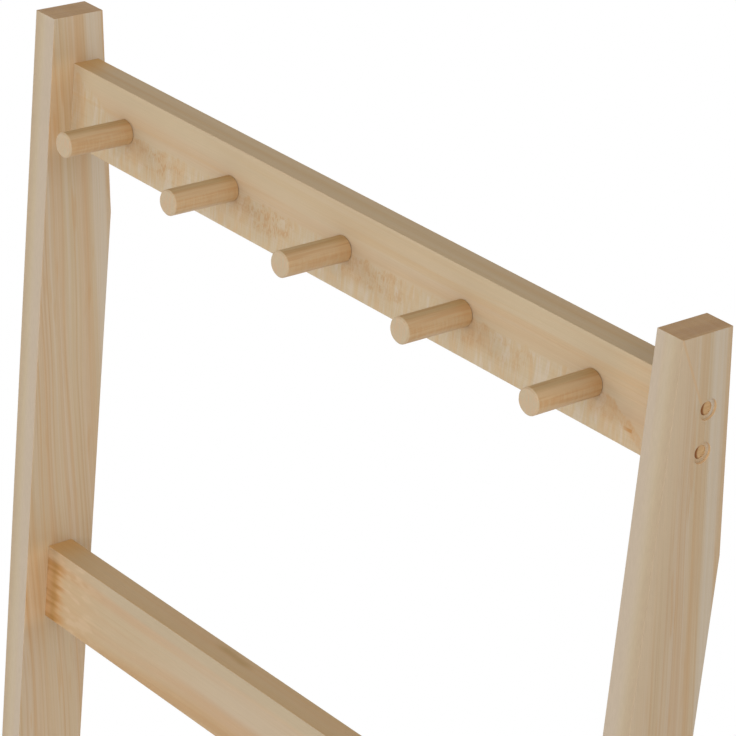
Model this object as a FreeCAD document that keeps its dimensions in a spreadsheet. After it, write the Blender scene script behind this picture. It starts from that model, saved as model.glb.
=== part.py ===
# Towel ladder: two pine posts that lean on a wall, rails screwed between them and pegs in the top rail.
# Sizes are in millimetres. +Z is up, +X is the ladder's right and +Y points at the wall. The origin is on
# the floor, under the middle of the ladder. Every leaning piece is drawn upright, with +Z up the posts and
# +Y from their front faces to their back faces, and is then leaned back by its placement.
import FreeCAD, Part
import os

import Sketcher

SIZES = {
    # Posts: flat boards whose upper back edge is cut upright, so that it lies flat on the wall
    "post_length": 1700,
    "post_thickness": 18,
    "post_depth": 50,
    "post_top_depth": 35,
    "lean": 6.5,
    "edge_radius": 0.3,
    # Rails: the same stock, set in the middle of the posts' depth
    "rail_count": 5,
    "rail_length": 495,
    "rail_height": 50,
    "rail_thickness": 18,
    "rail_drop": 30,
    "rail_pitch": 322,
    # Pegs: turned with a shoulder that stops on the top rail and a tenon that is glued into it
    "peg_count": 5,
    "peg_diameter": 15,
    "peg_proud": 45,
    "peg_pitch": 97.5,
    "peg_tip_bevel": 0.8,
    "peg_root_bevel": 0.4,
    "tenon_diameter": 11,
    "tenon_length": 12,
    "tenon_clearance": 0.1,
    # Rail screws: pan heads with a square drive, two at each rail end
    "screw_spacing": 24,
    "screw_diameter": 4,
    "screw_length": 50,
    "screw_point": 5,
    "head_diameter": 7,
    "head_height": 3,
    "drive_width": 2.6,
    "drive_depth": 1.8,
    "shank_clearance": 0.25,
    "pilot_clearance": 0.05,
    "pilot_spare": 2,
    # Plugs: hide the screw heads, just below the floor of a shallow recess in the post's outer face
    "recess_diameter": 12,
    "recess_depth": 1.4,
    "plug_sink": 0.5,
    "plug_diameter": 7.4,
    "plug_length": 5.5,
    "plug_clearance": 0.1,
    # Foot pads: under the level-cut feet
    "pad_thickness": 3,
    "pad_margin": 2,
    "pad_corner": 3,
}

DERIVED = {
    "foot_depth": "Sizes.post_depth / cos(Sizes.lean)",
    "foot_rise": "Sizes.post_depth * tan(Sizes.lean)",
    "wall_cut": "(Sizes.post_depth - Sizes.post_top_depth) / tan(Sizes.lean)",
    "wall_distance": "Sizes.post_top_depth * cos(Sizes.lean) + Sizes.post_length * sin(Sizes.lean)",
    "half_width": "Sizes.rail_length / 2 + Sizes.post_thickness",
    "rail_setback": "(Sizes.post_depth - Sizes.rail_thickness) / 2",
    "top_rail_base": "Sizes.post_length - Sizes.rail_drop - Sizes.rail_height",
    "lower_screw": "(Sizes.rail_height - Sizes.screw_spacing) / 2",
    "plug_face": "Sizes.recess_depth + Sizes.plug_sink",
    "head_face": "Derived.plug_face + Sizes.plug_length",
    "head_seat": "Derived.head_face + Sizes.head_height",
    "screw_grip": "Sizes.screw_length - (Sizes.post_thickness - Derived.head_seat)",
}

LEFT, RIGHT = "left", "right"
OUTWARD = {LEFT: -1, RIGHT: 1}
HALF_TURN = {LEFT: 0, RIGHT: 180}
START, END, CENTRE = 1, 2, 3
H_AXIS, V_AXIS = -1, -2
ALONG_SHARE = 0.999

doc = FreeCAD.newDocument("towel_ladder")


def make_sheet(name, cells):
    """Writes a sheet with one named value on each row."""
    sheet = doc.addObject("Spreadsheet::Sheet", name)
    for row, (alias, content) in enumerate(cells.items(), start=1):
        sheet.set(f"A{row}", alias.replace("_", " "))
        sheet.set(f"B{row}", content)
        sheet.setAlias(f"B{row}", alias)
    doc.recompute()
    return sheet


sizes = make_sheet("Sizes", {alias: str(number) for alias, number in SIZES.items()})
make_sheet("Derived", {alias: f"={formula}" for alias, formula in DERIVED.items()})


def value(expression):
    """The number that an expression of the sheets' values gives."""
    return float(sizes.evalExpression(expression))


def new_body(label):
    """An empty sub-part. Its label is its node's name."""
    body = doc.addObject("PartDesign::Body", label)
    body.Label = label
    return body


def origin_feature(body, role):
    """One of the body's own origin planes or axes."""
    return next(feature for feature in body.Origin.OriginFeatures if feature.Role == role)


def new_sketch(body, name, plane, offset="0"):
    """A sketch on one of the body's origin planes, moved along the plane's normal by the offset."""
    sketch = body.newObject("Sketcher::SketchObject", name)
    sketch.AttachmentSupport = (origin_feature(body, plane), [""])
    sketch.MapMode = "FlatFace"
    sketch.setExpression("AttachmentOffset.Base.z", offset)
    return sketch


def tie(sketch, kind, name, where, expression):
    """Adds a named dimension that follows an expression."""
    index = sketch.addConstraint(Sketcher.Constraint(kind, *where, value(expression)))
    sketch.renameConstraint(index, name)
    sketch.setExpression(f"Constraints.{name}", expression)


def tie_point(sketch, name, point, x, y):
    """Ties a point's two coordinates, with a zero as a point on that axis."""
    for kind, axis, expression in (("DistanceX", V_AXIS, x), ("DistanceY", H_AXIS, y)):
        if expression == "0":
            sketch.addConstraint(Sketcher.Constraint("PointOnObject", *point, axis))
        else:
            tie(sketch, kind, f"{name}_{kind[-1].lower()}", point, expression)


def add_outline(sketch, corners):
    """Draws a closed outline of straight lines through corners given as pairs of expressions."""
    places = [FreeCAD.Vector(value(x), value(y), 0) for x, y in corners]
    for index, place in enumerate(places):
        after = places[(index + 1) % len(places)]
        sketch.addGeometry(Part.LineSegment(place, after), False)
    for index, (x, y) in enumerate(corners):
        after = (index + 1) % len(corners)
        sketch.addConstraint(Sketcher.Constraint("Coincident", index, END, after, START))
        tie_point(sketch, f"corner_{index}", (index, START), x, y)


def add_circle(sketch, name, x, y, diameter):
    """Draws a circle whose centre and diameter are expressions."""
    centre = FreeCAD.Vector(value(x), value(y), 0)
    circle = Part.Circle(centre, FreeCAD.Vector(0, 0, 1), value(diameter) / 2)
    index = sketch.addGeometry(circle, False)
    tie(sketch, "Diameter", f"{name}_diameter", (index,), diameter)
    tie_point(sketch, name, (index, CENTRE), x, y)


def pad(body, sketch, length, backwards=False):
    """Raises a sketch into a solid, along its plane's normal unless it goes backwards."""
    feature = body.newObject("PartDesign::Pad", "Pad")
    feature.Profile = sketch
    feature.Reversed = backwards
    feature.setExpression("Length", length)
    doc.recompute()
    return feature


def pocket(body, sketch, depth, along_normal=False):
    """Cuts a sketch into the solid, against its plane's normal unless it goes along it."""
    before = body.Shape.Volume
    feature = body.newObject("PartDesign::Pocket", "Pocket")
    feature.Profile = sketch
    feature.Reversed = along_normal
    feature.setExpression("Length", depth)
    doc.recompute()
    if body.Shape.Volume >= before:
        raise RuntimeError(f"{sketch.Name} of {body.Label} cuts nothing")
    return feature


def revolve(body, sketch, axis):
    """Turns a half profile into a solid about one of its sketch's axes."""
    feature = body.newObject("PartDesign::Revolution", "Revolution")
    feature.Profile = sketch
    feature.ReferenceAxis = (sketch, [axis])
    doc.recompute()
    return feature


def repeat(body, features, axis, pitch, count, backwards=False):
    """Repeats features at an even pitch along one of the body's axes."""
    pattern = body.newObject("PartDesign::LinearPattern", "LinearPattern")
    pattern.Originals = features
    pattern.Direction = (origin_feature(body, axis), [""])
    pattern.Reversed = backwards
    pattern.setExpression("Length", f"({pitch}) * (({count}) - 1)")
    pattern.setExpression("Occurrences", count)
    body.Tip = pattern
    doc.recompute()
    return pattern


def round_edges(body, feature, radius, chosen):
    """Rounds the edges of the last feature that the chosen test picks."""
    edges = feature.Shape.Edges
    names = [f"Edge{number}" for number, edge in enumerate(edges, start=1) if chosen(edge)]
    fillet = body.newObject("PartDesign::Fillet", "Fillet")
    fillet.Base = (feature, names)
    fillet.setExpression("Radius", radius)
    doc.recompute()


def runs_along(edge, axis):
    """Whether an edge is parallel with an axis."""
    return abs(edge.tangentAt(edge.FirstParameter).dot(axis)) > ALONG_SHARE


def place_leaning(body, across, depth, along, half_turn=0):
    """Leans a piece back from its place on the upright ladder: across it, back from its front and up it."""
    y = f"({depth}) * cos(Sizes.lean) + ({along}) * sin(Sizes.lean) - Derived.wall_distance / 2"
    z = f"({along}) * cos(Sizes.lean) - ({depth}) * sin(Sizes.lean) + Sizes.pad_thickness"
    turn = f"rotation(vector(1; 0; 0); -Sizes.lean) * rotation(vector(0; 0; 1); {half_turn})"
    body.setExpression("Placement", f"placement(vector({across}; {y}; {z}); {turn})")


def from_outer_face(side, inset):
    """The place across the ladder that lies an inset inside one post's outer face."""
    return f"{OUTWARD[side]} * (Derived.half_width - ({inset}))"


def rail_base(rail):
    """How far up the posts the underside of a rail is. The top rail is number 0."""
    return f"Derived.top_rail_base - {rail} * Sizes.rail_pitch"


def add_screw_circles(sketch, depth, rail_underside, diameter):
    """Draws the circles of the two screws of a rail end."""
    lower = f"{rail_underside} + Derived.lower_screw"
    add_circle(sketch, "lower", depth, lower, diameter)
    add_circle(sketch, "upper", depth, f"{lower} + Sizes.screw_spacing", diameter)


def make_post(side):
    """A post, with its outer face on the drawing plane and stepped screw holes drilled from there."""
    body = new_body(f"{side}_post")
    outline = new_sketch(body, "Outline", "YZ_Plane")
    corners = [
        ("0", "0"),
        ("0", "Sizes.post_length"),
        ("Sizes.post_top_depth", "Sizes.post_length"),
        ("Sizes.post_depth", "Sizes.post_length - Derived.wall_cut"),
        ("Sizes.post_depth", "Derived.foot_rise"),
    ]
    add_outline(outline, corners)
    board = pad(body, outline, "Sizes.post_thickness", backwards=side == RIGHT)

    kink = FreeCAD.Vector(0, value("Sizes.post_depth"), value("Sizes.post_length - Derived.wall_cut"))
    across = FreeCAD.Vector(1, 0, 0)

    def is_outer_edge(edge):
        from_kink = edge.distToShape(Part.Vertex(kink))[0]
        return not runs_along(edge, across) or from_kink > value("Sizes.edge_radius")

    round_edges(body, board, "Sizes.edge_radius", is_outer_edge)

    steps = [
        ("Recess", "Sizes.recess_diameter", "Sizes.recess_depth"),
        ("PlugHole", "Sizes.plug_diameter + 2 * Sizes.plug_clearance", "Derived.head_seat"),
        ("ShankHole", "Sizes.screw_diameter + 2 * Sizes.shank_clearance", "Sizes.post_thickness"),
    ]
    cuts = []
    for name, diameter, depth in steps:
        circles = new_sketch(body, name, "YZ_Plane")
        add_screw_circles(circles, "Sizes.post_depth / 2", "Derived.top_rail_base", diameter)
        cuts.append(pocket(body, circles, depth, along_normal=side == LEFT))
    repeat(body, cuts, "Z_Axis", "Sizes.rail_pitch", "Sizes.rail_count", backwards=True)
    place_leaning(body, from_outer_face(side, "0"), "0", "0")
    return body


def make_rail(label, rail):
    """A rail between the posts, with pilot holes for the two screws in each end."""
    body = new_body(label)
    section = new_sketch(body, "Section", "YZ_Plane")
    corners = [
        ("0", "0"),
        ("Sizes.rail_thickness", "0"),
        ("Sizes.rail_thickness", "Sizes.rail_height"),
        ("0", "Sizes.rail_height"),
    ]
    add_outline(section, corners)
    board = pad(body, section, "Sizes.rail_length")
    across = FreeCAD.Vector(1, 0, 0)
    round_edges(body, board, "Sizes.edge_radius", lambda edge: runs_along(edge, across))
    for side, end in ((LEFT, "0"), (RIGHT, "Sizes.rail_length")):
        circles = new_sketch(body, f"Pilot_{side}", "YZ_Plane", end)
        diameter = "Sizes.screw_diameter + 2 * Sizes.pilot_clearance"
        add_screw_circles(circles, "Sizes.rail_thickness / 2", "0", diameter)
        pocket(body, circles, "Derived.screw_grip + Sizes.pilot_spare", along_normal=side == LEFT)
    place_leaning(body, "-Sizes.rail_length / 2", "Derived.rail_setback", rail_base(rail))
    return body


def drill_peg_holes(body):
    """Drills the top rail's row of blind holes for the pegs' tenons, from its front face."""
    circle = new_sketch(body, "PegHole", "XZ_Plane")
    first = "Sizes.rail_length / 2 - Sizes.peg_pitch * (Sizes.peg_count - 1) / 2"
    diameter = "Sizes.tenon_diameter + 2 * Sizes.tenon_clearance"
    add_circle(circle, "tenon", first, "Sizes.rail_height / 2", diameter)
    hole = pocket(body, circle, "Sizes.tenon_length")
    repeat(body, [hole], "X_Axis", "Sizes.peg_pitch", "Sizes.peg_count")


def make_peg(number):
    """A turned peg that points forwards, with its shoulder on the top rail's front face."""
    body = new_body(f"peg_{number}")
    profile = new_sketch(body, "HalfProfile", "XY_Plane")
    radius = "Sizes.peg_diameter / 2"
    corners = [
        ("0", "-Sizes.peg_proud"),
        (f"{radius} - Sizes.peg_tip_bevel", "-Sizes.peg_proud"),
        (radius, "Sizes.peg_tip_bevel - Sizes.peg_proud"),
        (radius, "-Sizes.peg_root_bevel"),
        (f"{radius} - Sizes.peg_root_bevel", "0"),
        ("Sizes.tenon_diameter / 2", "0"),
        ("Sizes.tenon_diameter / 2", "Sizes.tenon_length"),
        ("0", "Sizes.tenon_length"),
    ]
    add_outline(profile, corners)
    revolve(body, profile, "V_Axis")
    across = f"({number} - (Sizes.peg_count + 1) / 2) * Sizes.peg_pitch"
    place_leaning(body, across, "Derived.rail_setback", "Derived.top_rail_base + Sizes.rail_height / 2")
    return body


def place_at_rail_end(body, rail, side, inset):
    """Places a fastener pair, drawn from its lower piece's outer end, inside one end of a rail's joint."""
    along = f"{rail_base(rail)} + Derived.lower_screw"
    place_leaning(body, from_outer_face(side, inset), "Sizes.post_depth / 2", along, HALF_TURN[side])


def make_screws(label, rail, side):
    """The two wood screws of a rail end, which point at the rail, with plain shanks for their threads."""
    body = new_body(label)
    profile = new_sketch(body, "HalfProfile", "XY_Plane")
    tip = "Sizes.head_height + Sizes.screw_length"
    corners = [
        ("0", "0"),
        ("0", "Sizes.head_diameter / 2"),
        ("Sizes.head_height", "Sizes.head_diameter / 2"),
        ("Sizes.head_height", "Sizes.screw_diameter / 2"),
        (f"{tip} - Sizes.screw_point", "Sizes.screw_diameter / 2"),
        (tip, "0"),
    ]
    add_outline(profile, corners)
    blank = revolve(body, profile, "H_Axis")
    square = new_sketch(body, "Drive", "YZ_Plane")
    half = "Sizes.drive_width / 2"
    add_outline(square, [(f"-{half}", f"-{half}"), (half, f"-{half}"), (half, half), (f"-{half}", half)])
    drive = pocket(body, square, "Sizes.drive_depth", along_normal=True)
    repeat(body, [blank, drive], "Z_Axis", "Sizes.screw_spacing", "2")
    place_at_rail_end(body, rail, side, "Derived.head_face")
    return body


def make_plugs(label, rail, side):
    """The two wooden plugs over the screws of a rail end."""
    body = new_body(label)
    circle = new_sketch(body, "Circle", "YZ_Plane")
    add_circle(circle, "plug", "0", "0", "Sizes.plug_diameter")
    plug = pad(body, circle, "Sizes.plug_length")
    repeat(body, [plug], "Z_Axis", "Sizes.screw_spacing", "2")
    place_at_rail_end(body, rail, side, "Derived.plug_face")
    return body


def make_foot_pad(side):
    """A rubber pad under a post's level foot. It lies flat on the floor."""
    body = new_body(f"{side}_foot_pad")
    outline = new_sketch(body, "Outline", "XY_Plane")
    half = "(Sizes.post_thickness / 2 - Sizes.pad_margin)"
    depth = "Derived.foot_depth - 2 * Sizes.pad_margin"
    add_outline(outline, [(f"-{half}", "0"), (half, "0"), (half, depth), (f"-{half}", depth)])
    slab = pad(body, outline, "Sizes.pad_thickness")
    up = FreeCAD.Vector(0, 0, 1)
    round_edges(body, slab, "Sizes.pad_corner", lambda edge: runs_along(edge, up))
    across = from_outer_face(side, "Sizes.post_thickness / 2")
    front = "Sizes.pad_margin - Derived.wall_distance / 2"
    body.setExpression("Placement", f"placement(vector({across}; {front}; 0); rotation(vector(0; 0; 1); 0))")
    return body


def make_ladder():
    """Makes every sub-part and returns them."""
    rail_count = int(value("Sizes.rail_count"))
    peg_count = int(value("Sizes.peg_count"))
    rail_names = ["peg_rail"] + [f"towel_rail_{number}" for number in range(1, rail_count)]

    pieces = [make_post(side) for side in (LEFT, RIGHT)]
    pieces += [make_rail(name, rail) for rail, name in enumerate(rail_names)]
    drill_peg_holes(doc.getObject("peg_rail"))
    pieces += [make_peg(number) for number in range(1, peg_count + 1)]
    for rail, name in enumerate(rail_names):
        for side in (LEFT, RIGHT):
            pieces.append(make_screws(f"{name}_{side}_screws", rail, side))
            pieces.append(make_plugs(f"{name}_{side}_plugs", rail, side))
    pieces += [make_foot_pad(side) for side in (LEFT, RIGHT)]
    doc.recompute()
    return pieces


def check(pieces):
    """Stops unless every object of the document is sound."""
    for thing in doc.Objects:
        if {"Invalid", "Error"} & set(thing.State):
            raise RuntimeError(f"{thing.Name} is {thing.State}")
    for piece in pieces:
        if piece.Shape.isNull() or not piece.Shape.isValid():
            raise RuntimeError(f"{piece.Label} has no valid shape")


def export(pieces):
    """Writes one file for each sub-part."""
    os.makedirs("parts", exist_ok=True)
    for piece in pieces:
        piece.Shape.exportStep(os.path.join("parts", f"{piece.Label}.step"))


ladder = make_ladder()
check(ladder)
export(ladder)
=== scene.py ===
"""Looks of the towel ladder: pine boards and pegs, zinc screws, rubber feet, studio light and camera."""

import math

import bmesh
import bpy
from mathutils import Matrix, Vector


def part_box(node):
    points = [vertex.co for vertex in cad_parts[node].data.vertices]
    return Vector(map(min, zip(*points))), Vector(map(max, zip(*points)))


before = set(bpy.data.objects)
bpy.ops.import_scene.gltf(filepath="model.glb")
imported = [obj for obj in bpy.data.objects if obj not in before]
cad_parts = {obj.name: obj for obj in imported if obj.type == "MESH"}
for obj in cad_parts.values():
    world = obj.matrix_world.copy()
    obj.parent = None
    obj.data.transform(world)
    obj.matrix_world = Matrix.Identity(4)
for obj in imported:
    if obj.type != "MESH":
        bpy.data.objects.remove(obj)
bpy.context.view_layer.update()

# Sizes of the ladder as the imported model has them, in metres and radians
LEAN = math.radians(6.5)
POST_CENTRE_X = 0.2565
POST_DEPTH = 0.050
RAIL_PITCH = 0.322
PEG_PITCH = 0.0975
PEG_SHOULDER = 0.0165
SCREW_SPACING = 0.024
RECESS_RADIUS = 0.006
TOWEL_RAILS = 4
PEGS = 5

# Directions on the leaning boards
UP_THE_BOARD = (0.0, math.sin(LEAN), math.cos(LEAN))
THROUGH_THE_BOARD = (0.0, math.cos(LEAN), -math.sin(LEAN))
ACROSS_THE_LADDER = (1.0, 0.0, 0.0)

# Bands on the posts' sides near the wall, in metres back from the ladder's middle
TAN_STREAK_BACK = 0.0950
PALE_BAND_BACK = 0.1052
WALL_EDGE_BACK = 0.1116

# Pin knots on the second rail, in metres along it and back from its middle
PIN_KNOTS = ((-0.0837, 0.0040), (-0.0687, 0.0028))
PIN_KNOT_RADIUS = 0.0044
PIN_KNOT_STRETCH = 0.3

# Painted shade on a plug's front side: the outside of a circle whose middle lies behind the screw, in
# metres
SHADE_CIRCLE_SHIFT = 0.004
SHADE_CIRCLE_START = 0.0048
SHADE_CIRCLE_FULL = 0.0063

# Depths of the bump in metres
PINE_BUMP = 0.0001
ZINC_BUMP = 0.00002
RUBBER_BUMP = 0.0002

# Seeds of the grain: one for each post, rail and peg, and one for each kind of small piece
SEED_SHIFT = (3.1, 5.3, 7.9)
POST_SEEDS = {"left_post": 28.0, "right_post": 18.0}
PEG_RAIL_SEED = 101.0
TOWEL_RAIL_SEED = 111.0
TOWEL_RAIL_SEED_STEP = 9
PEG_SEED = 201.0
PEG_SEED_STEP = 5
PLUG_SEED = 301.0
ZINC_SEED = 31.0
RUBBER_SEED = 41.0

# Floor, world and lamps, in metres, with the strengths of the light that the floor and the world give off
FLOOR_HALF = 6.0
FLOOR_GREY = (0.8, 0.8, 0.8, 1.0)
FLOOR_LIFT = 0.26
SHADOW_REACH = 1.6
WORLD_WHITE = (1.0, 1.0, 1.0, 1.0)
WORLD_BELOW = 0.58
WORLD_ABOVE = 0.52
LAMP_AIM = (0.0, 0.0, 1.3)
LAMP_DISTANCE = 8.0

# The camera, solved from the edges in the picture
CAMERA_PLACE = (1.25513, -0.97140, 2.47882)
CAMERA_YAW = 0.86119
CAMERA_PITCH = 0.50946
CAMERA_LENS = 166.25
SENSOR_WIDTH = 36.0

# Sockets of the colour mix node, whose names are not unique
MIX_FIRST = 6
MIX_SECOND = 7
MIX_RESULT = 2


def paint(red, green, blue):
    """A colour from its 0 to 255 screen values, as the linear colour that nodes take."""
    def linear(value):
        share = value / 255
        if share <= 0.04045:
            return share / 12.92
        return ((share + 0.055) / 1.055) ** 2.4

    return (linear(red), linear(green), linear(blue), 1.0)


# Pine colours
STRAW = paint(186, 169, 141)
GREY_PINK = paint(184, 167, 146)
# Tone of the painted shading at the posts' outer front arris
ARRIS_SHADING_TONE = paint(183, 162, 134)
CREAM = paint(189, 169, 138)
BEIGE = paint(189, 167, 136)
PINK = paint(190, 162, 131)
PALE = paint(194, 178, 156)
TAN = paint(187, 151, 109)
DARK_TAN = paint(176, 135, 90)
HONEY = paint(191, 157, 116)
DOWEL = paint(192, 161, 122)
DOWEL_END = paint(184, 165, 136)
END_BROWN = paint(172, 138, 97)
END_DARK = paint(164, 129, 90)
KNOT = paint(178, 131, 76)
KNOT_GLOW = paint(199, 155, 108)
FLECK = paint(181, 142, 98)
# Dark line of painted shade where a peg meets the rail
ROOT_SHADE = paint(130, 92, 54)
# Dark brown of the painted shade on the plugs' front side
PLUG_FRONT_SHADE = paint(116, 65, 12)
PLUG = paint(184, 150, 107)
PLUG_RING = paint(176, 140, 95)
# Raw wood of the recesses' walls, brightened as painted light
RAW_WOOD_PAINTED_LIGHT = paint(219, 185, 142)
SPOT = paint(200, 174, 143)

# Zinc and rubber colours
ZINC_DARK = paint(172, 174, 176)
ZINC_PALE = paint(196, 196, 190)
RUBBER = paint(46, 45, 44)
RUBBER_DUST = paint(78, 75, 71)

# Tints that shift a colour and keep its pattern
WARM = (1.0, 0.93, 0.82, 1.0)
# Browner edges of the rails: the edge grain and painted shade together
EDGE_GRAIN_AND_SHADE = (0.88, 0.815, 0.72, 1.0)
AMBER = (1.07, 1.02, 0.96, 1.0)
# Painted shade on the pegs' tops
PEG_TOP_SHADE = (0.85, 0.83, 0.71, 1.0)
SHADE = (0.93, 0.92, 0.91, 1.0)
# Painted warm light at the rails' left ends, by the post
WARM_BOUNCE_TINT = (1.19, 1.03, 0.77, 1.0)
# Painted light at both ends of the peg rail
LIT_ENDS_TINT = (1.10, 1.06, 1.03, 1.0)
# Brightening of the painted light in front of the rails on the posts' inner sides
BEFORE_RAIL_LIGHT_TINT = (1.16, 1.14, 1.11, 1.0)
# Painted cool reflection on the pegs' undersides
UNDERSIDE_REFLECTION = (1.0, 1.05, 1.14, 1.0)
SCORCH = (0.82, 0.79, 0.62, 1.0)


class Nodes:
    """The node tree of one material or world, with a call for each kind of node that the looks need."""

    def __init__(self, tree):
        self.tree = tree
        self.tree.nodes.clear()

    def add(self, kind, **settings):
        """A new node of a kind, with its settings."""
        node = self.tree.nodes.new(kind)
        for key, setting in settings.items():
            setattr(node, key, setting)
        return node

    def feed(self, socket, source):
        """Joins a socket to another node's output, or sets it to a plain value."""
        if isinstance(source, bpy.types.NodeSocket):
            self.tree.links.new(source, socket)
        else:
            socket.default_value = source

    def math(self, operation, first, second=0.0):
        """The result of an operation on one or two numbers."""
        node = self.add("ShaderNodeMath", operation=operation)
        self.feed(node.inputs[0], first)
        self.feed(node.inputs[1], second)
        return node.outputs["Value"]

    def plus(self, first, second):
        return self.math("ADD", first, second)

    def minus(self, first, second):
        return self.math("SUBTRACT", first, second)

    def product(self, first, *others):
        """The product of numbers, such as masks that all have to hold."""
        for other in others:
            first = self.math("MULTIPLY", first, other)
        return first

    def unsigned(self, value):
        """A number without its sign."""
        return self.math("ABSOLUTE", value)

    def distance(self, across, along):
        """How far away a place is, from how far it is along two axes."""
        return self.math("SQRT", self.plus(self.product(across, across), self.product(along, along)))

    def spread(self, value, low, high, to_low=0.0, to_high=1.0):
        """A smooth change from to_low to to_high while the value goes from low to high."""
        node = self.add("ShaderNodeMapRange", interpolation_type="SMOOTHSTEP")
        names = ("Value", "From Min", "From Max", "To Min", "To Max")
        for name, source in zip(names, (value, low, high, to_low, to_high)):
            self.feed(node.inputs[name], source)
        return node.outputs["Result"]

    def hill(self, value, middle, half_width, top=1.0):
        """The top around the middle, falling smoothly to 0 where the value is half_width away from it."""
        away = self.unsigned(self.minus(value, middle))
        return self.spread(away, 0.5 * half_width, half_width, top, 0.0)

    def blend(self, kind, share, first, second):
        """Two colours blended by a share of the second."""
        node = self.add("ShaderNodeMix", data_type="RGBA", blend_type=kind)
        self.feed(node.inputs["Factor"], share)
        self.feed(node.inputs[MIX_FIRST], first)
        self.feed(node.inputs[MIX_SECOND], second)
        return node.outputs[MIX_RESULT]

    def mix(self, share, first, second):
        """A share of the second colour laid over the first."""
        return self.blend("MIX", share, first, second)

    def tint(self, share, colour, tint):
        """A colour multiplied by a share of a tint, which keeps its pattern."""
        return self.blend("MULTIPLY", share, colour, tint)

    def shaded(self, colour, grey):
        """A colour times a grey shade."""
        node = self.add("ShaderNodeVectorMath", operation="SCALE")
        self.feed(node.inputs[0], colour)
        self.feed(node.inputs["Scale"], grey)
        return node.outputs["Vector"]

    def object_place(self):
        """Metres from the frame's origin, along its own upright axes."""
        return self.add("ShaderNodeTexCoord").outputs["Object"]

    def board_place(self, centre):
        """Metres from a board's centre, along axes that lean back with it."""
        node = self.add("ShaderNodeMapping", vector_type="TEXTURE")
        self.feed(node.inputs["Vector"], self.object_place())
        self.feed(node.inputs["Location"], centre)
        self.feed(node.inputs["Rotation"], (-LEAN, 0.0, 0.0))
        return node.outputs["Vector"]

    def split(self, vector):
        """The X, Y and Z of a vector."""
        node = self.add("ShaderNodeSeparateXYZ")
        self.feed(node.inputs[0], vector)
        return node.outputs

    def faces(self, axis, low=0.6, high=0.8):
        """1 on faces that are square to an axis, whichever way they look, and 0 on the others."""
        node = self.add("ShaderNodeVectorMath", operation="DOT_PRODUCT")
        self.feed(node.inputs[0], self.add("ShaderNodeNewGeometry").outputs["Normal"])
        self.feed(node.inputs[1], axis)
        return self.spread(self.unsigned(node.outputs["Value"]), low, high)

    def streaks(self, place, sizes, seed, detail=2.0, wander=0.0):
        """Noise drawn out so that its marks are about as large as sizes, in metres along each axis."""
        stretch = self.add("ShaderNodeMapping")
        self.feed(stretch.inputs["Vector"], place)
        self.feed(stretch.inputs["Location"], [seed * shift for shift in SEED_SHIFT])
        self.feed(stretch.inputs["Scale"], [1.0 / size for size in sizes])
        noise = self.add("ShaderNodeTexNoise")
        self.feed(noise.inputs["Vector"], stretch.outputs["Vector"])
        self.feed(noise.inputs["Scale"], 1.0)
        self.feed(noise.inputs["Detail"], detail)
        self.feed(noise.inputs["Distortion"], wander)
        return noise.outputs["Fac"]

    def wavy(self, place, axis, sizes, seed, reach):
        """The place moved along one axis by slow waves, so that bands drift as growth rings do."""
        move = self.add("ShaderNodeCombineXYZ")
        waves = self.streaks(place, sizes, seed, detail=1.0)
        self.feed(move.inputs[axis], self.spread(waves, 0.25, 0.75, -reach, reach))
        total = self.add("ShaderNodeVectorMath", operation="ADD")
        self.feed(total.inputs[0], place)
        self.feed(total.inputs[1], move.outputs["Vector"])
        return total.outputs["Vector"]

    def surface(self, colour, roughness, height, depth, specular=0.25):
        """The shader itself, with a bump whose depth is in metres."""
        bump = self.add("ShaderNodeBump")
        self.feed(bump.inputs["Strength"], 1.0)
        self.feed(bump.inputs["Distance"], depth)
        self.feed(bump.inputs["Height"], height)
        shader = self.add("ShaderNodeBsdfPrincipled")
        self.feed(shader.inputs["Base Color"], colour)
        self.feed(shader.inputs["Roughness"], roughness)
        self.feed(shader.inputs["Specular IOR Level"], specular)
        self.feed(shader.inputs["Normal"], bump.outputs["Normal"])
        output = self.add("ShaderNodeOutputMaterial")
        self.feed(output.inputs["Surface"], shader.outputs["BSDF"])
        return shader


def new_material(name):
    """A material without nodes yet, and the calls that build its tree."""
    material = bpy.data.materials.new(name)
    material.use_nodes = True
    return material, Nodes(material.node_tree)


def dress(node_name, material):
    """Gives a node of the ladder its material."""
    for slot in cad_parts[node_name].material_slots:
        slot.material = material


def middle_of(node_name):
    """The middle of a node's box."""
    low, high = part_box(node_name)
    return (low + high) / 2


def finish_pine(nodes, colour, place, fibre_sizes, band, seed):
    """Fine fibres, roughness and bump of planed, clear-lacquered pine over a colour."""
    fibre = nodes.streaks(place, fibre_sizes, seed + 6, detail=3.0)
    grey = nodes.spread(fibre, 0.3, 0.7, 0.97, 1.025)
    roughness = nodes.spread(band, 0.3, 0.7, 0.5, 0.62)
    height = nodes.plus(fibre, nodes.product(band, 0.6))
    nodes.surface(nodes.shaded(colour, grey), roughness, height, PINE_BUMP)


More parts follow.
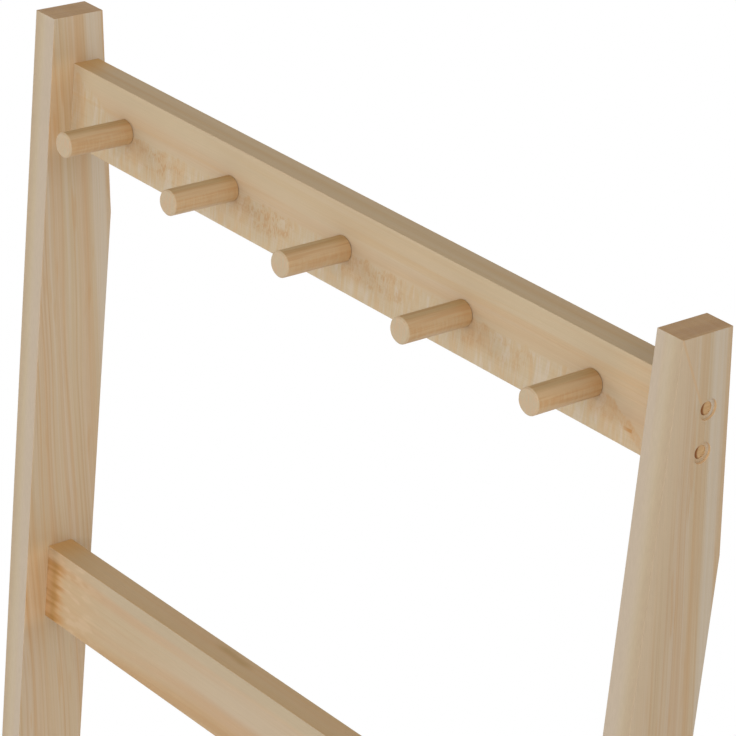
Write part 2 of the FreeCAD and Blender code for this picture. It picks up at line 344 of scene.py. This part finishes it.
# Posts
def post_side(nodes, upright, seed):
    """A post's broad sides: fine upright growth bands, short resin streaks, a pale band near the wall."""
    place = nodes.wavy(upright, "Y", (0.5, 0.04, 0.2), seed + 7, 0.0022)
    broad = nodes.streaks(place, (0.2, 0.014, 0.8), seed, detail=1.0)
    bands = nodes.streaks(place, (0.2, 0.0036, 0.5), seed + 1, detail=2.0)
    lines = nodes.streaks(place, (0.2, 0.0013, 0.3), seed + 2, detail=1.0)
    resin = nodes.streaks(place, (0.2, 0.0042, 0.055), seed + 3, detail=2.0)
    colour = nodes.mix(nodes.spread(broad, 0.36, 0.62, 0.0, 0.6), BEIGE, PINK)
    colour = nodes.mix(nodes.spread(bands, 0.5, 0.7, 0.0, 0.5), colour, TAN)
    colour = nodes.mix(nodes.spread(bands, 0.46, 0.28, 0.0, 0.45), colour, PALE)
    colour = nodes.mix(nodes.spread(lines, 0.54, 0.7, 0.0, 0.28), colour, DARK_TAN)
    colour = nodes.mix(nodes.spread(lines, 0.46, 0.3, 0.0, 0.3), colour, PALE)
    colour = nodes.mix(nodes.spread(resin, 0.60, 0.74, 0.0, 0.6), colour, TAN)

    back = nodes.split(upright)["Y"]
    colour = nodes.mix(nodes.hill(back, TAN_STREAK_BACK, 0.0034, 0.35), colour, TAN)
    pale_band = nodes.hill(back, PALE_BAND_BACK, 0.0062)
    pale = nodes.product(pale_band, nodes.spread(lines, 0.3, 0.7, 1.0, 0.75))
    colour = nodes.mix(pale, colour, PALE)
    wall_edge = nodes.spread(back, WALL_EDGE_BACK, WALL_EDGE_BACK + 0.0014, 0.0, 0.4)
    return nodes.mix(wall_edge, colour, TAN), bands


def post_front(nodes, leaning, outward, seed):
    """A post's narrow faces: nearly plain, straw outside and greyer towards the ladder's middle."""
    tone = nodes.streaks(leaning, (0.012, 0.1, 0.7), seed + 3, detail=2.0)
    drift = nodes.plus(outward, nodes.spread(tone, 0.3, 0.7, -0.002, 0.002))
    colour = nodes.mix(nodes.spread(drift, -0.004, 0.004), GREY_PINK, STRAW)
    return nodes.mix(nodes.spread(tone, 0.55, 0.75, 0.0, 0.2), colour, TAN)


def post_end(nodes, leaning, seed):
    """End grain: brown, with soft rays from front to back, faint growth rings and fine pores."""
    rays = nodes.streaks(leaning, (0.0026, 0.035, 0.03), seed + 4, detail=2.0)
    rings = nodes.streaks(leaning, (0.03, 0.0022, 0.03), seed + 8, detail=1.0)
    pores = nodes.streaks(leaning, (0.0005, 0.0005, 0.01), seed + 5, detail=2.0)
    colour = nodes.mix(nodes.spread(rays, 0.36, 0.7), END_BROWN, END_DARK)
    colour = nodes.mix(nodes.spread(rings, 0.52, 0.7, 0.0, 0.3), colour, END_DARK)
    return nodes.shaded(colour, nodes.spread(pores, 0.3, 0.7, 0.96, 1.04))


def paint_joint_light(nodes, side, spot, outward, from_rail):
    """Painted light on a post's inner side: warm shade around the rail joints, where light bounces between
    the boards, and a brighter patch in front of the rails.
    """
    inner = nodes.spread(outward, -0.004, -0.008)
    # Painted warm shade around the rail joints
    around = nodes.spread(from_rail, 0.024, 0.06, 0.6, 0.0)
    towards_front = nodes.spread(spot["Y"], -0.008, 0.010, 1.0, 0.1)
    side = nodes.tint(nodes.product(around, inner, towards_front), side, WARM)
    # Painted light: brighter in front of the rails
    level_with_rail = nodes.spread(from_rail, 0.034, 0.018)
    before = nodes.spread(spot["Y"], -0.004, -0.010)
    return nodes.tint(nodes.product(level_with_rail, inner, before), side, BEFORE_RAIL_LIGHT_TINT)


def paint_arris_shading(nodes, side, front, spot, outward, outer):
    """Painted shading at the outer front arris: the front and the side are drawn in one tone there, as if
    the shade ran smoothly round the edge.
    """
    from_front = nodes.plus(spot["Y"], POST_DEPTH / 2)
    side = nodes.mix(nodes.product(nodes.spread(from_front, 0.018, 0.0), outer), side, ARRIS_SHADING_TONE)
    # Painted shading: the front is drawn darker towards the outer arris
    arris_shading = nodes.spread(outward, -0.001, 0.009)
    front = nodes.tint(arris_shading, nodes.mix(arris_shading, front, ARRIS_SHADING_TONE), SHADE)
    return side, front


def draw_shading_seam(nodes, side, spot, outer):
    """Painted shade: a faint tan line on the outer side, from the top front corner down to the upper
    recess, drawn like a shading seam.
    """
    slant = nodes.plus(spot["Z"], nodes.product(spot["Y"], 2.0))
    above_recess = nodes.spread(spot["Z"], 0.014, 0.018)
    shading_seam = nodes.product(nodes.hill(slant, 0.005, 0.0020, 0.5), outer, above_recess)
    return nodes.mix(shading_seam, side, TAN)


def make_post_pine(node_name, seed):
    """A post's board: banded sides, plain front and back, brown ends, raw wood in the recesses' walls drawn
    brighter as painted light.
    """
    material, nodes = new_material(f"pine_{node_name}")
    upright = nodes.object_place()
    leaning = nodes.board_place(middle_of("peg_rail"))
    spot = nodes.split(leaning)
    outward = nodes.minus(nodes.unsigned(nodes.split(upright)["X"]), POST_CENTRE_X)
    outer = nodes.spread(outward, 0.0, 0.004)
    from_rail = nodes.math("PINGPONG", spot["Z"], RAIL_PITCH / 2)

    side, bands = post_side(nodes, upright, seed)
    side = paint_joint_light(nodes, side, spot, outward, from_rail)
    # Painted shade: the posts' outer sides are drawn darker than their inner sides
    painted_shade_outside = nodes.spread(outward, 0.0, 0.004, 1.0, 0.86)
    side = nodes.shaded(side, painted_shade_outside)
    front = post_front(nodes, leaning, outward, seed)
    side, front = paint_arris_shading(nodes, side, front, spot, outward, outer)
    side = draw_shading_seam(nodes, side, spot, outer)

    side_share = nodes.faces(ACROSS_THE_LADDER)
    colour = nodes.mix(side_share, front, side)
    colour = nodes.mix(nodes.faces(UP_THE_BOARD), colour, post_end(nodes, leaning, seed))

    from_screw = nodes.minus(from_rail, SCREW_SPACING / 2)
    from_hole = nodes.distance(spot["Y"], from_screw)
    drilled = nodes.spread(from_hole, RECESS_RADIUS + 0.0005, RECESS_RADIUS + 0.0002)
    # The recesses' walls: raw wood, drawn brighter as painted light
    recess_wall = nodes.product(drilled, nodes.minus(1.0, side_share))
    colour = nodes.mix(recess_wall, colour, RAW_WOOD_PAINTED_LIGHT)
    finish_pine(nodes, colour, upright, (0.0006, 0.0006, 0.06), bands, seed)
    return material


# Rails
def rail_streaks(nodes, place, seed):
    """Long soft streaks along a rail."""
    broad = nodes.streaks(place, (0.5, 0.012, 0.014), seed, detail=1.0)
    bands = nodes.streaks(place, (0.35, 0.006, 0.0075), seed + 1, detail=2.0)
    lines = nodes.streaks(place, (0.2, 0.0016, 0.002), seed + 2, detail=2.0)
    colour = nodes.mix(nodes.spread(broad, 0.36, 0.64), CREAM, PINK)
    colour = nodes.mix(nodes.spread(bands, 0.5, 0.74, 0.0, 0.45), colour, TAN)
    colour = nodes.mix(nodes.spread(lines, 0.52, 0.74, 0.0, 0.16), colour, DARK_TAN)
    return colour, bands


def upright_figure(nodes, place, patch, seed):
    """Cream wood with honey and pale patches and short upright hairs."""
    hairs = nodes.streaks(place, (0.0010, 0.02, 0.014), seed + 11, detail=2.0)
    figure = nodes.mix(nodes.spread(patch, 0.46, 0.66, 0.0, 0.5), CREAM, HONEY)
    figure = nodes.mix(nodes.spread(patch, 0.46, 0.34, 0.0, 0.7), figure, PALE)
    figure = nodes.mix(nodes.spread(hairs, 0.52, 0.72, 0.0, 0.4), figure, TAN)
    return nodes.mix(nodes.spread(hairs, 0.47, 0.3, 0.0, 0.45), figure, PALE)


def add_peg_shadows_and_flecks(nodes, place, figure, fleck, seed):
    """Flecks beside each peg, over a warm smear of painted shadow, and a second cluster of them further to
    the right.
    """
    spot = nodes.split(place)
    clump = nodes.streaks(place, (0.010, 0.03, 0.006), seed + 14, detail=1.0)
    from_peg = nodes.math("FRACT", nodes.math("DIVIDE", spot["X"], PEG_PITCH))
    level = nodes.hill(spot["Z"], -0.006, 0.013)
    beside = nodes.product(level, nodes.hill(from_peg, 0.08, 0.16))
    # Painted shadow: a warm tan smear just right of each peg, where its shadow falls
    figure = nodes.mix(nodes.product(beside, 0.35), figure, TAN)
    further = nodes.product(level, nodes.hill(from_peg, 0.38, 0.24))
    off_the_end = nodes.spread(spot["X"], -0.240, -0.228)
    weaker_to_right = nodes.spread(spot["X"], -0.04, 0.10, 0.85, 0.45)
    further = nodes.product(further, off_the_end, weaker_to_right)
    clusters = nodes.plus(nodes.product(beside, 0.6), further)
    clumps = nodes.spread(clump, 0.40, 0.58, 0.3, 1.0)
    flecks = nodes.product(clusters, clumps, nodes.spread(fleck, 0.46, 0.60, 0.15, 0.95))
    return nodes.mix(flecks, figure, FLECK)


def end_of_figure(nodes, spot, patch, fleck, figure):
    """How far a place is below the figure's upper line, and the figure with tan along the line's slope.

    The line runs along the pegs' axes, rises at the left end and slopes down at the right end.
    """
    ragged = nodes.spread(patch, 0.3, 0.7, -0.0012, 0.0012)
    rising = nodes.spread(spot["X"], -0.195, -0.247, 0.0, 0.020)
    falling = nodes.spread(spot["X"], 0.198, 0.247, 0.0, -0.020)
    line = nodes.plus(nodes.plus(ragged, rising), falling)
    below = nodes.minus(line, spot["Z"])
    slope = nodes.product(
        nodes.hill(below, 0.003, 0.0045),
        nodes.spread(spot["X"], 0.200, 0.210, 0.0, 0.7),
        nodes.spread(spot["X"], 0.224, 0.240, 1.0, 0.4),
        nodes.spread(fleck, 0.38, 0.58, 0.45, 1.0),
    )
    return below, nodes.mix(slope, figure, TAN)


def add_resin_pocket(nodes, spot, figure):
    """A short dark resin pocket near the right end, which tapers to the left."""
    pocket = nodes.product(
        nodes.hill(spot["Z"], -0.0150, 0.0013),
        nodes.spread(spot["X"], 0.2175, 0.2245),
        nodes.spread(spot["X"], 0.2252, 0.2264, 0.9, 0.0),
    )
    return nodes.mix(pocket, figure, KNOT)


def flecked_figure(nodes, place, colour, seed):
    """The peg rail's front: an upright, flecked figure on its lower half, two long lines above the pegs."""
    spot = nodes.split(place)
    patch = nodes.streaks(place, (0.006, 0.03, 0.022), seed + 10, detail=2.0, wander=0.5)
    fleck = nodes.streaks(place, (0.0016, 0.02, 0.0045), seed + 13, detail=2.0, wander=1.2)
    figure = upright_figure(nodes, place, patch, seed)
    figure = add_peg_shadows_and_flecks(nodes, place, figure, fleck, seed)
    below, figure = end_of_figure(nodes, spot, patch, fleck, figure)
    figure = add_resin_pocket(nodes, spot, figure)
    plain = nodes.mix(0.4, colour, CREAM)
    colour = nodes.mix(nodes.spread(below, -0.0008, 0.0012), plain, figure)

    to_right = nodes.spread(spot["X"], -0.06, 0.06, 0.0, 0.3)
    soft_line = nodes.product(nodes.hill(spot["Z"], 0.0115, 0.0028), to_right)
    colour = nodes.mix(soft_line, colour, TAN)
    to_left = nodes.spread(spot["X"], -0.02, -0.08, 0.0, 0.22)
    thin_line = nodes.product(nodes.hill(spot["Z"], 0.0067, 0.0012), to_left)
    colour = nodes.mix(thin_line, colour, TAN)
    # Painted light: both ends of the peg rail are lightened, against the shade by the posts
    from_middle = nodes.unsigned(nodes.plus(spot["X"], 0.012))
    lit_ends = nodes.spread(from_middle, 0.215, 0.243)
    return nodes.tint(lit_ends, colour, LIT_ENDS_TINT)


def long_bands(nodes, place, colour):
    """The second rail's growth: straw at the top, then a tan streak, a pale middle and a tan lower edge."""
    spot = nodes.split(place)
    colour = nodes.tint(0.45, colour, WARM)
    colour = nodes.mix(nodes.spread(spot["Z"], 0.0145, 0.0185, 0.0, 0.85), colour, STRAW)
    fading = nodes.spread(spot["X"], -0.225, -0.18, 0.8, 0.1)
    streak = nodes.product(nodes.hill(spot["Z"], 0.0125, 0.0032), fading)
    colour = nodes.mix(streak, colour, TAN)
    paler = nodes.spread(spot["X"], -0.18, -0.05, 0.1, 0.5)
    middle = nodes.product(nodes.hill(spot["Z"], 0.005, 0.014), paler)
    colour = nodes.mix(middle, colour, PALE)
    growing = nodes.spread(spot["X"], -0.215, -0.155, 0.5, 1.0)
    low_down = nodes.product(nodes.spread(spot["Z"], -0.012, -0.018), growing, 0.65)
    colour = nodes.mix(low_down, colour, TAN)
    lowest = nodes.product(nodes.hill(spot["Z"], -0.0220, 0.0035, 0.3), growing)
    colour = nodes.mix(lowest, colour, DARK_TAN)
    return nodes.tint(1.0, colour, SHADE)


def knotty_end(nodes, place, colour, seed):
    """Orange wood round a knot at a rail's left end: soft dark stripes, then pale spots that thin out."""
    spot = nodes.split(place)
    stripes = nodes.streaks(place, (0.03, 0.02, 0.0042), seed + 21, detail=1.0)
    blotch = nodes.streaks(place, (0.014, 0.02, 0.005), seed + 22, detail=1.0)
    near = nodes.spread(spot["X"], -0.175, -0.225)
    colour = nodes.mix(nodes.product(near, 0.45), colour, HONEY)
    pale_spots = nodes.product(near, nodes.spread(blotch, 0.46, 0.64, 0.0, 0.5))
    colour = nodes.mix(pale_spots, colour, SPOT)

    heart = nodes.mix(nodes.spread(stripes, 0.40, 0.62, 0.15, 1.0), KNOT_GLOW, KNOT)
    from_ring = nodes.unsigned(nodes.plus(spot["X"], 0.2393))
    heart = nodes.tint(nodes.spread(from_ring, 0.0062, 0.0), heart, SCORCH)
    reach = nodes.minus(spot["X"], nodes.spread(stripes, 0.35, 0.65, -0.002, 0.003))
    inside = nodes.spread(reach, -0.2270, -0.2385)
    under_top = nodes.spread(spot["Z"], 0.020, 0.014, 0.25, 0.92)
    return nodes.mix(nodes.product(inside, under_top), colour, heart)


def add_pin_knots(nodes, place, colour):
    """Two small dark knots that come out side by side on a rail's edges, drawn out along the grain."""
    spot = nodes.split(place)
    for along, back in PIN_KNOTS:
        aside = nodes.product(nodes.minus(spot["X"], along), PIN_KNOT_STRETCH)
        away = nodes.distance(aside, nodes.minus(spot["Y"], back))
        colour = nodes.tint(nodes.spread(away, PIN_KNOT_RADIUS, 0.0), colour, SCORCH)
    return colour


def rail_edge(nodes, place, streaked, seed):
    """A rail's top and bottom edges: browner than its front, partly from the edge grain and partly as
    painted shade, with warm lines and an orange left end of painted warm light by the post.
    """
    lines = nodes.streaks(place, (0.15, 0.0035, 0.05), seed + 3, detail=2.0)
    edge = nodes.mix(0.6, streaked, CREAM)
    edge = nodes.tint(nodes.spread(lines, 0.45, 0.7, 0.0, 0.6), edge, WARM)
    # Partly edge grain, partly painted shade: the top and bottom are drawn browner
    edge = nodes.tint(1.0, edge, EDGE_GRAIN_AND_SHADE)
    # Painted warm light: the left end, beside the post, is drawn orange
    warm_bounce_left_end = nodes.spread(nodes.split(place)["X"], -0.220, -0.246)
    return nodes.tint(warm_bounce_left_end, edge, WARM_BOUNCE_TINT)


def make_rail_pine(node_name, seed, flecked=False, knotty=False):
    """A rail's board: long soft streaks, browner edges and, where asked, a flecked figure or knots."""
    material, nodes = new_material(f"pine_{node_name}")
    place = nodes.board_place(middle_of(node_name))
    drifting = nodes.wavy(place, "Z", (0.18, 0.05, 0.05), seed + 7, 0.003)
    streaked, bands = rail_streaks(nodes, drifting, seed)
    colour = streaked
    edge = rail_edge(nodes, place, streaked, seed)
    if flecked:
        colour = flecked_figure(nodes, place, colour, seed)
    if knotty:
        colour = long_bands(nodes, drifting, colour)
        colour = knotty_end(nodes, place, colour, seed)
        edge = nodes.tint(1.0, add_pin_knots(nodes, place, edge), AMBER)
    colour = nodes.mix(nodes.faces(UP_THE_BOARD), colour, edge)
    finish_pine(nodes, colour, place, (0.06, 0.0006, 0.0006), bands, seed)
    return material


# Pegs and plugs
def make_peg_pine(node_name, seed):
    """A turned peg: honey streaks along it, faint cross flecks low on it and a pale end, with painted shade
    on its top, a painted cool reflection on its underside, and painted warm shade and a dark shade line at
    its root.
    """
    material, nodes = new_material(f"pine_{node_name}")
    place = nodes.board_place(middle_of(node_name))
    spot = nodes.split(place)
    streak = nodes.streaks(place, (0.0018, 0.05, 0.0018), seed, detail=2.0)
    colour = nodes.mix(nodes.spread(streak, 0.42, 0.64), DOWEL, TAN)

    tick = nodes.streaks(place, (0.01, 0.0014, 0.008), seed + 1, detail=1.0)
    low_down = nodes.spread(spot["Z"], 0.0050, 0.0010)
    pale_ticks = nodes.product(nodes.spread(tick, 0.5, 0.7, 0.0, 0.3), low_down)
    colour = nodes.mix(pale_ticks, colour, CREAM)
    dark_ticks = nodes.product(nodes.spread(tick, 0.48, 0.3, 0.0, 0.16), low_down)
    colour = nodes.mix(dark_ticks, colour, DARK_TAN)

    # Painted shade on the top of the peg, and a painted cool reflection on its underside
    colour = nodes.tint(nodes.spread(spot["Z"], 0.0052, 0.0068), colour, PEG_TOP_SHADE)
    colour = nodes.tint(nodes.spread(spot["Z"], -0.003, -0.007), colour, UNDERSIDE_REFLECTION)
    grain = nodes.streaks(place, (0.0009, 0.02, 0.006), seed + 2, detail=2.0)
    end = nodes.mix(nodes.spread(grain, 0.4, 0.65), DOWEL_END, PINK)
    colour = nodes.mix(nodes.faces(THROUGH_THE_BOARD, low=0.5), colour, end)
    # Painted shade: warmer towards the root, and a dark line at the root where the peg meets the rail
    warm_root_shade = nodes.spread(spot["Y"], PEG_SHOULDER - 0.014, PEG_SHOULDER)
    colour = nodes.tint(warm_root_shade, colour, WARM)
    root_shade_line = nodes.spread(spot["Y"], PEG_SHOULDER - 0.0006, PEG_SHOULDER - 0.0002, 0.0, 0.35)
    colour = nodes.mix(root_shade_line, colour, ROOT_SHADE)
    finish_pine(nodes, colour, place, (0.0006, 0.05, 0.0006), streak, seed)
    return material


def make_plug_pine(seed):
    """Plugs over the screws, cut across the grain: a few growth rings, and a dark crescent of painted shade
    at the front.
    """
    material, nodes = new_material("pine_plugs")
    place = nodes.board_place(middle_of("peg_rail"))
    spot = nodes.split(place)
    rings = nodes.streaks(place, (0.02, 0.004, 0.0013), seed, detail=2.0)
    colour = nodes.mix(nodes.spread(rings, 0.38, 0.66), PLUG, PLUG_RING)
    from_rail = nodes.math("PINGPONG", spot["Z"], RAIL_PITCH / 2)
    from_screw = nodes.minus(from_rail, SCREW_SPACING / 2)
    from_shade_circle = nodes.distance(nodes.minus(spot["Y"], SHADE_CIRCLE_SHIFT), from_screw)
    # Painted shade: a dark crescent on each plug's front side, as if the recess's front wall shaded it
    colour = nodes.mix(nodes.spread(from_shade_circle, SHADE_CIRCLE_START, SHADE_CIRCLE_FULL), colour, PLUG_FRONT_SHADE)
    finish_pine(nodes, colour, place, (0.01, 0.0005, 0.0005), rings, seed)
    return material


# Screws and foot pads
def make_zinc(seed):
    """Zinc-plated screws: a blotchy grey plating with fine drawn lines."""
    material, nodes = new_material("zinc_screws")
    place = nodes.object_place()
    blotch = nodes.streaks(place, (0.002, 0.002, 0.002), seed, detail=4.0)
    drawn = nodes.streaks(place, (0.006, 0.0002, 0.0002), seed + 1, detail=2.0)
    colour = nodes.mix(nodes.spread(blotch, 0.35, 0.65), ZINC_DARK, ZINC_PALE)
    roughness = nodes.spread(drawn, 0.3, 0.7, 0.28, 0.42)
    shader = nodes.surface(colour, roughness, drawn, ZINC_BUMP, specular=0.5)
    nodes.feed(shader.inputs["Metallic"], 1.0)
    return material


def make_rubber(seed):
    """Foot pads: dark rubber with a fine moulded grain and dusty patches."""
    material, nodes = new_material("rubber_feet")
    place = nodes.object_place()
    grain = nodes.streaks(place, (0.0006, 0.0006, 0.0006), seed, detail=3.0)
    dust = nodes.streaks(place, (0.012, 0.012, 0.004), seed + 1, detail=4.0)
    colour = nodes.mix(nodes.spread(dust, 0.45, 0.75), RUBBER, RUBBER_DUST)
    roughness = nodes.spread(dust, 0.3, 0.7, 0.7, 0.88)
    nodes.surface(colour, roughness, grain, RUBBER_BUMP)
    return material


def dress_ladder():
    """Gives each post, rail and peg a pine of its own, and the small pieces one material for each kind."""
    for name, seed in POST_SEEDS.items():
        dress(name, make_post_pine(name, seed))
    dress("peg_rail", make_rail_pine("peg_rail", PEG_RAIL_SEED, flecked=True))
    for number in range(1, TOWEL_RAILS + 1):
        name = f"towel_rail_{number}"
        seed = TOWEL_RAIL_SEED + TOWEL_RAIL_SEED_STEP * number
        dress(name, make_rail_pine(name, seed, knotty=number == 1))
    for number in range(1, PEGS + 1):
        name = f"peg_{number}"
        dress(name, make_peg_pine(name, PEG_SEED + PEG_SEED_STEP * number))
    kinds = {
        "_plugs": make_plug_pine(PLUG_SEED),
        "_screws": make_zinc(ZINC_SEED),
        "_foot_pad": make_rubber(RUBBER_SEED),
    }
    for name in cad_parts:
        for ending, material in kinds.items():
            if name.endswith(ending):
                dress(name, material)


# Floor, light and camera
def seen_as_white(nodes):
    """1 for the rays that see the background as white: from the camera, in gloss and through glass."""
    path = nodes.add("ShaderNodeLightPath").outputs
    seen = nodes.plus(path["Is Camera Ray"], path["Is Glossy Ray"])
    seen = nodes.plus(seen, path["Is Transmission Ray"])
    return nodes.math("MINIMUM", seen, 1.0)


def make_floor_material():
    """Pale grey that takes the ladder's shadow near its feet, and blends into plain white further out."""
    material, nodes = new_material("pale_floor")
    length = nodes.add("ShaderNodeVectorMath", operation="LENGTH")
    nodes.feed(length.inputs[0], nodes.object_place())
    far = nodes.spread(length.outputs["Value"], 0.5 * SHADOW_REACH, SHADOW_REACH)
    diffuse = nodes.add("ShaderNodeBsdfDiffuse")
    nodes.feed(diffuse.inputs["Color"], FLOOR_GREY)
    lift = nodes.add("ShaderNodeEmission")
    nodes.feed(lift.inputs["Strength"], nodes.product(seen_as_white(nodes), FLOOR_LIFT))
    near = nodes.add("ShaderNodeAddShader")
    nodes.feed(near.inputs[0], diffuse.outputs["BSDF"])
    nodes.feed(near.inputs[1], lift.outputs["Emission"])
    white = nodes.add("ShaderNodeEmission")
    blend = nodes.add("ShaderNodeMixShader")
    nodes.feed(blend.inputs[0], nodes.product(far, seen_as_white(nodes)))
    nodes.feed(blend.inputs[1], near.outputs["Shader"])
    nodes.feed(blend.inputs[2], white.outputs["Emission"])
    output = nodes.add("ShaderNodeOutputMaterial")
    nodes.feed(output.inputs["Surface"], blend.outputs["Shader"])
    return material


def make_floor():
    """A large square floor under the ladder, which is not part of it."""
    mesh = bpy.data.meshes.new("floor")
    shape = bmesh.new()
    corners = ((-1, -1), (1, -1), (1, 1), (-1, 1))
    shape.faces.new([shape.verts.new((x * FLOOR_HALF, y * FLOOR_HALF, 0.0)) for x, y in corners])
    shape.to_mesh(mesh)
    shape.free()
    mesh.materials.append(make_floor_material())
    floor = bpy.data.objects.new("floor", mesh)
    bpy.context.scene.collection.objects.link(floor)


def make_world():
    """Soft light from all round, a little weaker from above, and white where it is seen."""
    world = bpy.data.worlds.new("studio")
    bpy.context.scene.world = world
    world.use_nodes = True
    nodes = Nodes(world.node_tree)
    height = nodes.split(nodes.add("ShaderNodeTexCoord").outputs["Generated"])["Z"]
    soft = nodes.spread(height, -0.1, 0.9, WORLD_BELOW, WORLD_ABOVE)
    background = nodes.add("ShaderNodeBackground")
    nodes.feed(background.inputs["Strength"], nodes.math("MAXIMUM", soft, seen_as_white(nodes)))
    nodes.feed(background.inputs["Color"], WORLD_WHITE)
    output = nodes.add("ShaderNodeOutputWorld")
    nodes.feed(output.inputs["Surface"], background.outputs["Background"])


def make_lamp(name, toward, size, watts):
    """A square soft lamp that hangs in a direction from the ladder's upper part and shines at it."""
    data = bpy.data.lights.new(name, "AREA")
    data.shape = "SQUARE"
    data.size = size
    data.energy = watts
    lamp = bpy.data.objects.new(name, data)
    bpy.context.scene.collection.objects.link(lamp)
    toward = Vector(toward).normalized()
    lamp.location = Vector(LAMP_AIM) + toward * LAMP_DISTANCE
    lamp.rotation_mode = "QUATERNION"
    lamp.rotation_quaternion = toward.to_track_quat("Z", "Y")
    lamp.visible_camera = False
    return lamp


def make_lamps():
    """Four lamps round the ladder. The back one stays out of the gloss, where it would whiten the tops."""
    make_lamp("key_lamp", toward=(-0.53, -0.80, 0.29), size=2.9, watts=115.0)
    make_lamp("front_lamp", toward=(0.12, -0.925, 0.36), size=3.6, watts=160.0)
    make_lamp("side_lamp", toward=(0.95, -0.12, 0.28), size=9.0, watts=320.0)
    back_lamp = make_lamp("back_lamp", toward=(-0.62, 0.78, 0.0), size=5.0, watts=200.0)
    back_lamp.visible_glossy = False


def make_camera():
    """The camera, at the photograph's place and angle."""
    data = bpy.data.cameras.new("camera")
    data.sensor_width = SENSOR_WIDTH
    data.lens = CAMERA_LENS
    camera = bpy.data.objects.new("camera", data)
    bpy.context.scene.collection.objects.link(camera)
    camera.location = CAMERA_PLACE
    camera.rotation_euler = (math.pi / 2 - CAMERA_PITCH, 0.0, CAMERA_YAW)
    bpy.context.scene.camera = camera


dress_ladder()
make_floor()
make_world()
make_lamps()
make_camera()
bpy.context.scene.view_settings.view_transform = "Standard"
